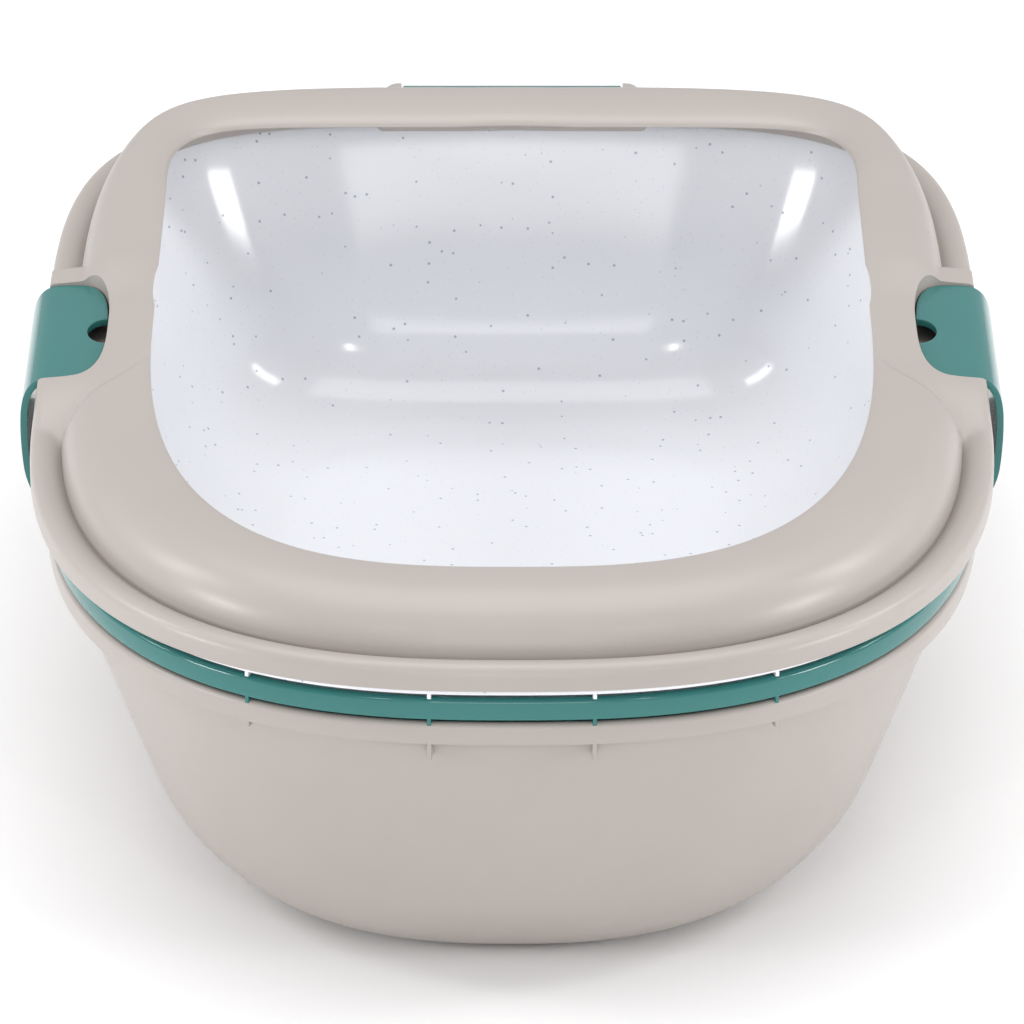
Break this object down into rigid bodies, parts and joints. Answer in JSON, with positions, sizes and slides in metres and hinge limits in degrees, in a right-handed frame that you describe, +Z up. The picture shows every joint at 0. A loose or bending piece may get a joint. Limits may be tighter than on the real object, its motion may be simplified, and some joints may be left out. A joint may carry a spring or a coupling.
{
  "type": "cat litter box with clip-on hood",
  "caption": "Oval litter box: nested tray, slotted sieve and inner tray under an open-topped hood ring, held down by rocker clips at the sides and rear.",
  "frame": {"origin": "on the floor under the middle of the hood, at the bottom centre of the hood's length and width", "axes": "+Z up, -Y towards the low front edge, +X to the right of someone facing the front from outside looking along +Y"},
  "size_m": [0.4076, 0.5958, 0.175],
  "materials": {
    "taupe_plastic": "satin moulded polypropylene",
    "petrol_plastic": "glossy moulded polypropylene",
    "granite_white_plastic": "glossy moulded polypropylene with small grey flecks"
  },
  "bodies": {
    "base_tray": {"lower_tray": "taupe_plastic"},
    "sieve_tray": {"sieve": "petrol_plastic"},
    "litter_tray": {"upper_tray": "granite_white_plastic"},
    "hood_ring": {"hood": "taupe_plastic"},
    "left_clip": {"clip_left": "petrol_plastic"},
    "right_clip": {"clip_right": "petrol_plastic"},
    "rear_clip": {"clip_rear": "petrol_plastic"}
  },
  "joints": [
    {"name": "sieve_lift", "type": "slide", "parent": "base_tray", "child": "sieve_tray", "axis": [0, 0, 1], "range_m": [0, 0.15]},
    {"name": "litter_tray_lift", "type": "slide", "parent": "sieve_tray", "child": "litter_tray", "axis": [0, 0, 1], "range_m": [0, 0.15]},
    {"name": "hood_lift", "type": "slide", "parent": "litter_tray", "child": "hood_ring", "axis": [0, 0, 1], "range_m": [0, 0.08]},
    {"name": "left_clip_rock", "type": "hinge", "parent": "hood_ring", "child": "left_clip", "pos_m": [-0.19, 0.01, 0.1605], "axis": [0, 1, 0], "range_deg": [0, 18]},
    {"name": "right_clip_rock", "type": "hinge", "parent": "hood_ring", "child": "right_clip", "pos_m": [0.19, 0.01, 0.1605], "axis": [0, -1, 0], "range_deg": [0, 18]},
    {"name": "rear_clip_rock", "type": "hinge", "parent": "hood_ring", "child": "rear_clip", "pos_m": [0, 0.287, 0.1605], "axis": [1, 0, 0], "range_deg": [0, 18]}
  ]
}
